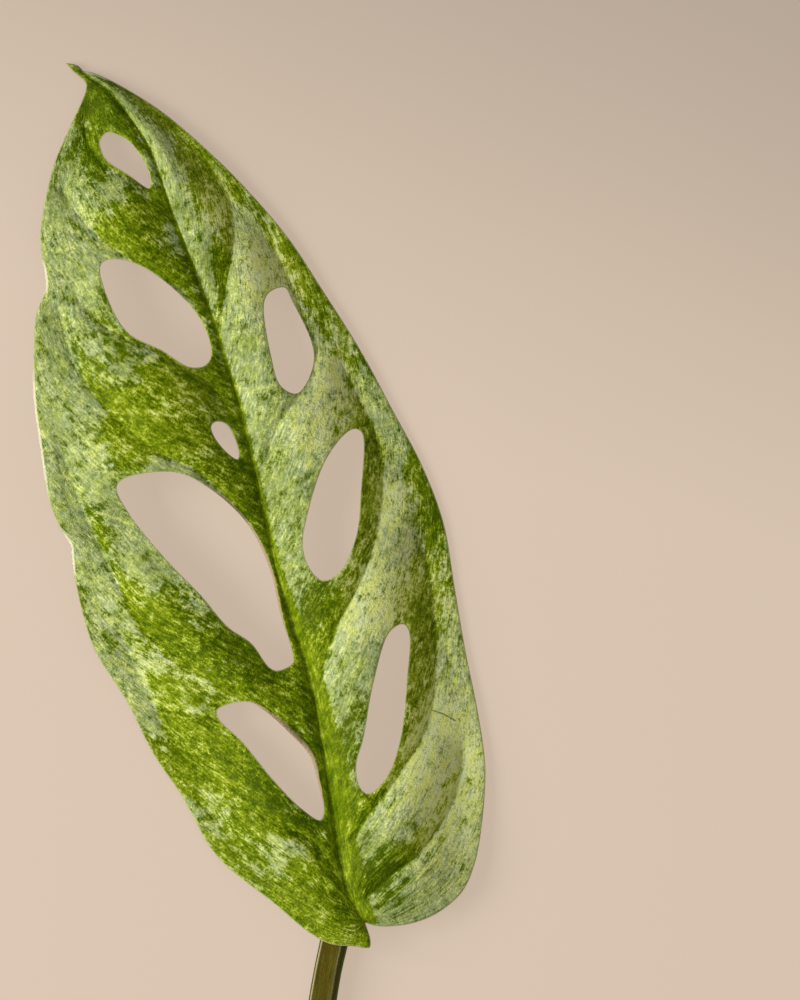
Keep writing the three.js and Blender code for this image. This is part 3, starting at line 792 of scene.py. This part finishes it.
# For the bake, the upper side, the underside and the stalk lie beside each other on one sheet
# that is this many millimetres wide and high. The cut end lies above the stalk.
SHEET = 158.0
UPPER_PLACE = (27.0, 5.5)
LOWER_SHIFT = 65.0
STALK_PLACE = (131.0, 2.0)
STALK_RADIUS = 2.7
CUT_PLACE = (138.0, 100.0)
CUT_RADIUS = 2.8


def numbers_of(items, name, kind, count=None):
    """One number for each item of a mesh, as an array."""
    found = np.empty(count or len(items), kind)
    items.foreach_get(name, found)
    return found


def lay_out(mesh):
    """Unwraps the leaf: both sides flat, the stalk unrolled and its cut end flat."""
    vertex = numbers_of(mesh.loops, "vertex_index", np.int32)
    face = np.repeat(np.arange(len(mesh.polygons)), numbers_of(mesh.polygons, "loop_total", np.int32))
    slot = numbers_of(mesh.polygons, "material_index", np.int32)[face]
    place = numbers_of(mesh.vertices, "co", np.float32, 3 * len(mesh.vertices)).reshape(-1, 3)
    place = (place / MM - np.array(NOTCH))[vertex]
    kept = {name: numbers_of(mesh.attributes[name].data, "value", np.float32)[vertex]
            for name in ("turn", "down_stalk", "cut", "out")}
    turn = kept["turn"]
    widest = np.full(len(mesh.polygons), -np.pi)
    np.maximum.at(widest, face, turn)
    turn = turn + 2 * np.pi * ((slot == 2) & (widest[face] - turn > np.pi))
    x = place[:, 0] + UPPER_PLACE[0] + LOWER_SHIFT * (slot == 1)
    y = place[:, 1] + UPPER_PLACE[1]
    x = np.where(slot == 2, STALK_PLACE[0] + STALK_RADIUS * (turn + np.pi), x)
    y = np.where(slot == 2, STALK_PLACE[1] + kept["down_stalk"], y)
    cut_faces = np.ones(len(mesh.polygons))
    np.minimum.at(cut_faces, face, kept["cut"])
    on_cut = (slot == 2) & (cut_faces[face] > 0.2)
    from_centre = kept["out"] * CUT_RADIUS
    x = np.where(on_cut, CUT_PLACE[0] + from_centre * np.sin(kept["turn"]), x)
    y = np.where(on_cut, CUT_PLACE[1] + from_centre * np.cos(kept["turn"]), y)
    layer = mesh.uv_layers.new(name="OFBake")
    layer.uv.foreach_set("vector", (np.column_stack([x, y]) / SHEET).astype(np.float32).ravel())


lay_out(leaf_mesh)

# ---- Upper finish ----
# Waxy green skin with a mosaic of mint and cream where the pigment is missing, drawn out
# along the veins. The mint also carries painted sheen, and the paleness painted light and shade.


def new_group(name, inputs, outputs):
    """An empty shader node group, with its named inputs and outputs."""
    group = bpy.data.node_groups.new(name, "ShaderNodeTree")
    for label, kind in inputs:
        group.interface.new_socket(label, in_out="INPUT", socket_type=kind)
    for label, kind in outputs:
        group.interface.new_socket(label, in_out="OUTPUT", socket_type=kind)
    source = group.nodes.new("NodeGroupInput")
    sink = group.nodes.new("NodeGroupOutput")
    return group, source.outputs, sink.inputs


def sum_of(tree, operation, a, b):
    """A two-number Math node's result."""
    return add_node(tree, "Math", {"operation": operation}, _0=a, _1=b).outputs[0]


def product(tree, a, b):
    """Two values multiplied."""
    return sum_of(tree, "MULTIPLY", a, b)


def read(tree, name):
    """The value that the mesh stores under a name."""
    return add_node(tree, "Attribute", {"attribute_name": name}).outputs["Fac"]


FLOAT, VECTOR = "NodeSocketFloat", "NodeSocketVector"
mosaic_group, given, result = new_group(
    "leaf_mosaic",
    [("Across", FLOAT), ("Along", FLOAT), ("Place", VECTOR)],
    [("Cloud", FLOAT), ("Fleck", FLOAT), ("Warmth", FLOAT), ("Grain", FLOAT)],
)


def stretched_noise(tree, across, along, width, length, detail, roughness):
    """Noise whose patches are so wide across the veins and so long along them, in mm."""
    place = add_node(tree, "CombineXYZ", X=sum_of(tree, "DIVIDE", across, width),
                     Y=sum_of(tree, "DIVIDE", along, length))
    noise = add_node(tree, "TexNoise", {"noise_dimensions": "2D"},
                     Vector=place.outputs[0], Scale=1.0, Detail=detail, Roughness=roughness)
    return noise.outputs["Fac"]


def weighted(tree, parts):
    """The sum of noises, each less its middle value and times its weight."""
    total = 0.0
    for part, weight in parts:
        centred = sum_of(tree, "SUBTRACT", part, 0.5)
        total = sum_of(tree, "ADD", total, product(tree, centred, weight))
    return total


def even_noise(tree, place, size, detail):
    """Noise whose patches are so wide in all directions, in mm."""
    return add_node(tree, "TexNoise", Vector=place, Scale=1 / (size * MM), Detail=detail,
                    Roughness=0.6).outputs["Fac"]


# Clouds are patches of a few millimetres, flecks are pale cells in short rows, and the grain is
# the pebbled surface itself. Where the skin is calm the flecks are weaker.
tree = mosaic_group
cloud = stretched_noise(tree, given["Across"], given["Along"], 2.6, 5.0, 2.0, 0.6)
calm = stretched_noise(tree, given["Along"], given["Across"], 7.0, 4.0, 1.0, 0.5)
cluster = stretched_noise(tree, given["Across"], given["Along"], 1.2, 2.0, 1.0, 0.5)
streak = stretched_noise(tree, given["Across"], given["Along"], 0.4, 1.3, 1.0, 0.6)
clump = even_noise(tree, given["Place"], 1.5, 2.0)
fleck = even_noise(tree, given["Place"], 0.5, 1.0)
grain = even_noise(tree, given["Place"], 0.26, 1.0)
warm = stretched_noise(tree, given["Along"], given["Across"], 3.2, 2.0, 2.0, 0.6)
clouds = weighted(tree, [(cloud, 0.75), (clump, 0.6)])
flecks = weighted(tree, [(cluster, 0.55), (streak, 0.85), (clump, 0.45), (fleck, 0.75),
                         (grain, 0.75)])
warmth = weighted(tree, [(warm, 0.7), (cluster, 0.35), (streak, 0.25)])
pebbles = weighted(tree, [(fleck, 0.9), (grain, 0.8), (streak, 0.3)])
busy = add_node(tree, "MapRange", Value=calm, From_Min=0.35, From_Max=0.65, To_Min=0.8,
                To_Max=1.15).outputs["Result"]
flecks = product(tree, flecks, busy)
tree.links.new(clouds, result["Cloud"])
tree.links.new(flecks, result["Fleck"])
tree.links.new(warmth, result["Warmth"])
tree.links.new(pebbles, result["Grain"])


def leaf_mosaic(tree):
    """The mosaic placed in a material and laid along the leaf's own veins."""
    placed_group = tree.nodes.new("ShaderNodeGroup")
    placed_group.node_tree = mosaic_group
    tree.links.new(read(tree, "across"), placed_group.inputs["Across"])
    tree.links.new(read(tree, "along"), placed_group.inputs["Along"])
    object_place = add_node(tree, "TexCoord").outputs["Object"]
    tree.links.new(object_place, placed_group.inputs["Place"])
    return placed_group.outputs


def colour_ramp(tree, value, stops):
    """A value turned into a colour by stops of position and colour."""
    ramp_node = add_node(tree, "ValToRGB", Fac=value)
    elements = ramp_node.color_ramp.elements
    while len(elements) < len(stops):
        elements.new(0.5)
    for element, (position, colour) in zip(elements, stops):
        element.position = position
        element.color = (*colour, 1)
    return ramp_node.outputs["Color"]


def mixed(tree, share, first, second):
    """Two colours mixed: all first at 0, all second at 1."""
    return add_node(tree, "Mix", {"data_type": "RGBA"}, _0=share, _6=first,
                    _7=second).outputs[2]


def smooth_step(tree, value, low, high):
    """0 below low, 1 above high, with a smooth step between them."""
    return add_node(tree, "MapRange", {"interpolation_type": "SMOOTHSTEP"}, Value=value,
                    From_Min=low, From_Max=high).outputs["Result"]


def added(tree, first, second, share):
    """The first value with a share of the second one added."""
    return sum_of(tree, "ADD", first, product(tree, second, share))


def dress(tree, shader, skin, height, strength, distance, roughness, shine):
    """Gives a finish its colour, its bump (strength and distance), roughness and shine."""
    tree.links.new(skin, shader.inputs["Base Color"])
    bump = add_node(tree, "Bump", Height=height, Strength=strength, Distance=distance)
    tree.links.new(bump.outputs["Normal"], shader.inputs["Normal"])
    shader.inputs["Roughness"].default_value = roughness
    shader.inputs["Specular IOR Level"].default_value = shine


# Both palettes run from the darkest skin to the palest, and a plain spot lies at the middle
# value. The midrib has streaks, and its flecks are weaker by the calm share.
GREEN_STOPS = [
    (0.0, (0.034, 0.068, 0.0003)), (0.18, (0.058, 0.104, 0.0005)), (0.43, (0.125, 0.188, 0.001)),
    (0.63, (0.24, 0.31, 0.012)), (0.82, (0.42, 0.485, 0.09)), (1.0, (0.58, 0.65, 0.22)),
]
# The mint palette stands for the silver skin and also for painted sheen.
MINT_AND_SHEEN_STOPS = [
    (0.0, (0.095, 0.14, 0.03)), (0.14, (0.145, 0.195, 0.055)), (0.36, (0.205, 0.27, 0.1)),
    (0.57, (0.295, 0.365, 0.165)), (0.76, (0.42, 0.485, 0.21)), (0.98, (0.59, 0.65, 0.32)),
]
MIDDLE = 0.43
SILVER_WARMTH = (1.03, 1.02, 0.62, 1)
RIB_CALM = 0.55
RIB_STREAKS = 0.7

tree, shader = new_material("leaf_upper_skin")
mosaic = leaf_mosaic(tree)
cloud, fleck = mosaic["Cloud"], mosaic["Fleck"]
rib = read(tree, "rib_green")
fleck_share = add_node(tree, "Math", {"operation": "MULTIPLY_ADD"}, _0=rib, _1=-RIB_CALM,
                       _2=1.0).outputs[0]
rib_streak = stretched_noise(tree, read(tree, "from_midrib"), read(tree, "along"), 0.35, 5.0, 2.0, 0.6)
rib_streak = weighted(tree, [(rib_streak, RIB_STREAKS)])
# The paleness guide brings painted light and shade into the lightness.
lightness = sum_of(tree, "ADD", read(tree, "pale_and_painted_light"), MIDDLE)
lightness = added(tree, lightness, cloud, 0.75)
lightness = added(tree, lightness, fleck, fleck_share)
lightness = added(tree, lightness, rib_streak, rib)
silver_and_sheen_edge = added(tree, read(tree, "silver_and_sheen"), cloud, 1.5)
silver_and_sheen_edge = added(tree, silver_and_sheen_edge, fleck, 0.55)
silver_and_sheen_share = smooth_step(tree, silver_and_sheen_edge, 0.2, 0.62)
mint_and_sheen_skin = colour_ramp(tree, lightness, MINT_AND_SHEEN_STOPS)
warm_share = smooth_step(tree, mosaic["Warmth"], -0.12, 0.14)
mint_and_sheen_skin = add_node(tree, "Mix", {"data_type": "RGBA", "blend_type": "MULTIPLY"},
                       _0=warm_share, _6=mint_and_sheen_skin, _7=SILVER_WARMTH).outputs[2]
skin = mixed(tree, silver_and_sheen_share, colour_ramp(tree, lightness, GREEN_STOPS), mint_and_sheen_skin)

SCAR_COLOUR = (0.05, 0.09, 0.003, 1)
scar = smooth_step(tree, read(tree, "from_scar"), 0.22, 0.04)
skin = mixed(tree, product(tree, scar, 0.8), skin, SCAR_COLOUR)

# A thin clear skin closes every edge, paler where a painted highlight lies on it, and a dry tan one
# the upper edges of two holes.
RIM_COLOUR = (0.34, 0.37, 0.14, 1)
RIM_PAINTED_HIGHLIGHT = (0.62, 0.6, 0.42, 1)
TAN_COLOUR = (0.33, 0.27, 0.15, 1)
# The bright rim colour is a painted highlight.
highlight_part = smooth_step(tree, read(tree, "bright_rim"), 0.2, 0.7)
rim_colour = mixed(tree, highlight_part, RIM_COLOUR, RIM_PAINTED_HIGHLIGHT)
rim_gap = sum_of(tree, "SUBTRACT", read(tree, "from_edge"), product(tree, highlight_part, 0.2))
rim = smooth_step(tree, rim_gap, 0.24, 0.08)
skin = mixed(tree, product(tree, rim, 0.85), skin, rim_colour)
tan = added(tree, read(tree, "tan_rim"), fleck, 0.25)
skin = mixed(tree, smooth_step(tree, tan, 0.4, 0.7), skin, TAN_COLOUR)
dress(tree, shader, skin, mosaic["Grain"], 0.7, 0.2 * MM, roughness=0.46, shine=0.2)
shader.inputs["Specular Tint"].default_value = (1.0, 1.0, 0.15, 1)

# ---- Lower finish ----
# The underside is matt and paler, with the veins paler still and no wax on it. The mosaic of the
# upper side shows through faintly.

LOWER_STOPS = [(0.2, (0.11, 0.17, 0.035)), (0.5, (0.19, 0.26, 0.075)), (0.8, (0.34, 0.4, 0.17))]
VEIN_PALE = (0.3, 0.35, 0.12, 1)
tree, shader = new_material("leaf_lower_skin")
mosaic = leaf_mosaic(tree)
lower_value = weighted(tree, [(mosaic["Cloud"], 0.7), (mosaic["Fleck"], 0.45)])
lower_value = sum_of(tree, "ADD", lower_value, 1.0)
lower_value = added(tree, lower_value, read(tree, "silver_and_sheen"), 0.15)
skin = colour_ramp(tree, lower_value, LOWER_STOPS)
vein_mark = smooth_step(tree, read(tree, "from_vein"), 0.8, 0.2)
skin = mixed(tree, product(tree, vein_mark, 0.7), skin, VEIN_PALE)
skin = mixed(tree, product(tree, read(tree, "rib_green"), 0.85), skin, VEIN_PALE)
dress(tree, shader, skin, mosaic["Grain"], 0.4, 0.12 * MM, roughness=0.62, shine=0.2)

# ---- Stalk finish ----
# Fibres run down the whole stalk. The channel is dried to an olive tan, its lips are pale and
# papery, paler on the lit side as a painted highlight, the flanks stay dark green, darkened with
# painted shade, and the cut shows paler wood with the ends of its bundles.

FACE_DARK = (0.035, 0.029, 0.001, 1)
FACE_TAN = (0.088, 0.07, 0.005, 1)
# The flank colours are as dark as a flank in shade: they hold painted shade.
FLANK_DARK = (0.04, 0.045, 0.001, 1)
FLANK_GREEN = (0.08, 0.088, 0.006, 1)
LIP_PALE = (0.4, 0.36, 0.2, 1)
RUST = (0.07, 0.035, 0.003, 1)
JOINT_GREEN = (0.1, 0.14, 0.015, 1)
JOINT_PALE = (0.2, 0.26, 0.06, 1)
CUT_PALE = (0.42, 0.42, 0.2, 1)
CUT_DARK = (0.16, 0.13, 0.05, 1)
tree, shader = new_material("stalk_skin")
turn, down = read(tree, "turn"), read(tree, "down_stalk")
around = product(tree, turn, 2.5)
place = add_node(tree, "TexCoord").outputs["Object"]
fibre = stretched_noise(tree, around, down, 0.22, 7.0, 2.0, 0.6)
mottle = stretched_noise(tree, around, down, 1.2, 3.0, 2.0, 0.6)
pebble = add_node(tree, "TexNoise", Vector=place, Scale=2600.0, Detail=1.0).outputs["Fac"]
fibres = sum_of(tree, "ADD", weighted(tree, [(fibre, 1.6), (mottle, 0.9), (pebble, 0.4)]), 0.5)
face = mixed(tree, fibres, FACE_DARK, FACE_TAN)
rust_place = add_node(tree, "CombineXYZ", X=turn, Y=product(tree, down, 0.3))
rust = add_node(tree, "TexNoise", {"noise_dimensions": "2D"}, Vector=rust_place.outputs[0],
                Scale=1.3, Detail=2.0).outputs["Fac"]
face = mixed(tree, product(tree, smooth_step(tree, rust, 0.6, 0.72), 0.8), face, RUST)
flank = mixed(tree, fibres, FLANK_DARK, FLANK_GREEN)
aside = add_node(tree, "Math", {"operation": "ABSOLUTE"}, _0=turn).outputs[0]
skin = mixed(tree, smooth_step(tree, aside, 0.74, 0.9), face, flank)
joint = mixed(tree, fibres, JOINT_GREEN, JOINT_PALE)
joint = mixed(tree, smooth_step(tree, down, 3.0, 9.0), VEIN_PALE, joint)
skin = mixed(tree, smooth_step(tree, down, 13.0, 5.0), skin, joint)
lip = product(tree, smooth_step(tree, aside, 0.7, 0.79), smooth_step(tree, aside, 0.93, 0.82))
lip = product(tree, lip, smooth_step(tree, down, 6.0, 12.0))
# The lip on the lit side is paler: a painted highlight.
lit_side = sum_of(tree, "ADD", product(tree, smooth_step(tree, turn, -0.5, 0.5), 0.7), 0.3)
lip = product(tree, lip, lit_side)
skin = mixed(tree, product(tree, lip, 0.85), skin, LIP_PALE)
bundles = add_node(tree, "TexVoronoi", Vector=place, Scale=2200.0).outputs["Distance"]
cut_face = mixed(tree, smooth_step(tree, bundles, 0.35, 0.15), CUT_PALE, CUT_DARK)
cut_face = mixed(tree, smooth_step(tree, read(tree, "out"), 0.82, 0.95), cut_face, CUT_DARK)
skin = mixed(tree, smooth_step(tree, read(tree, "cut"), 0.3, 0.7), skin, cut_face)
relief_height = weighted(tree, [(fibre, 1.0), (pebble, 0.6)])
dress(tree, shader, skin, relief_height, 0.5, 0.15 * MM, roughness=0.52, shine=0.08)
shader.inputs["Specular Tint"].default_value = (1.0, 1.0, 0.3, 1)

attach(leaf, "root")
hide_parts("monstera_leaf")
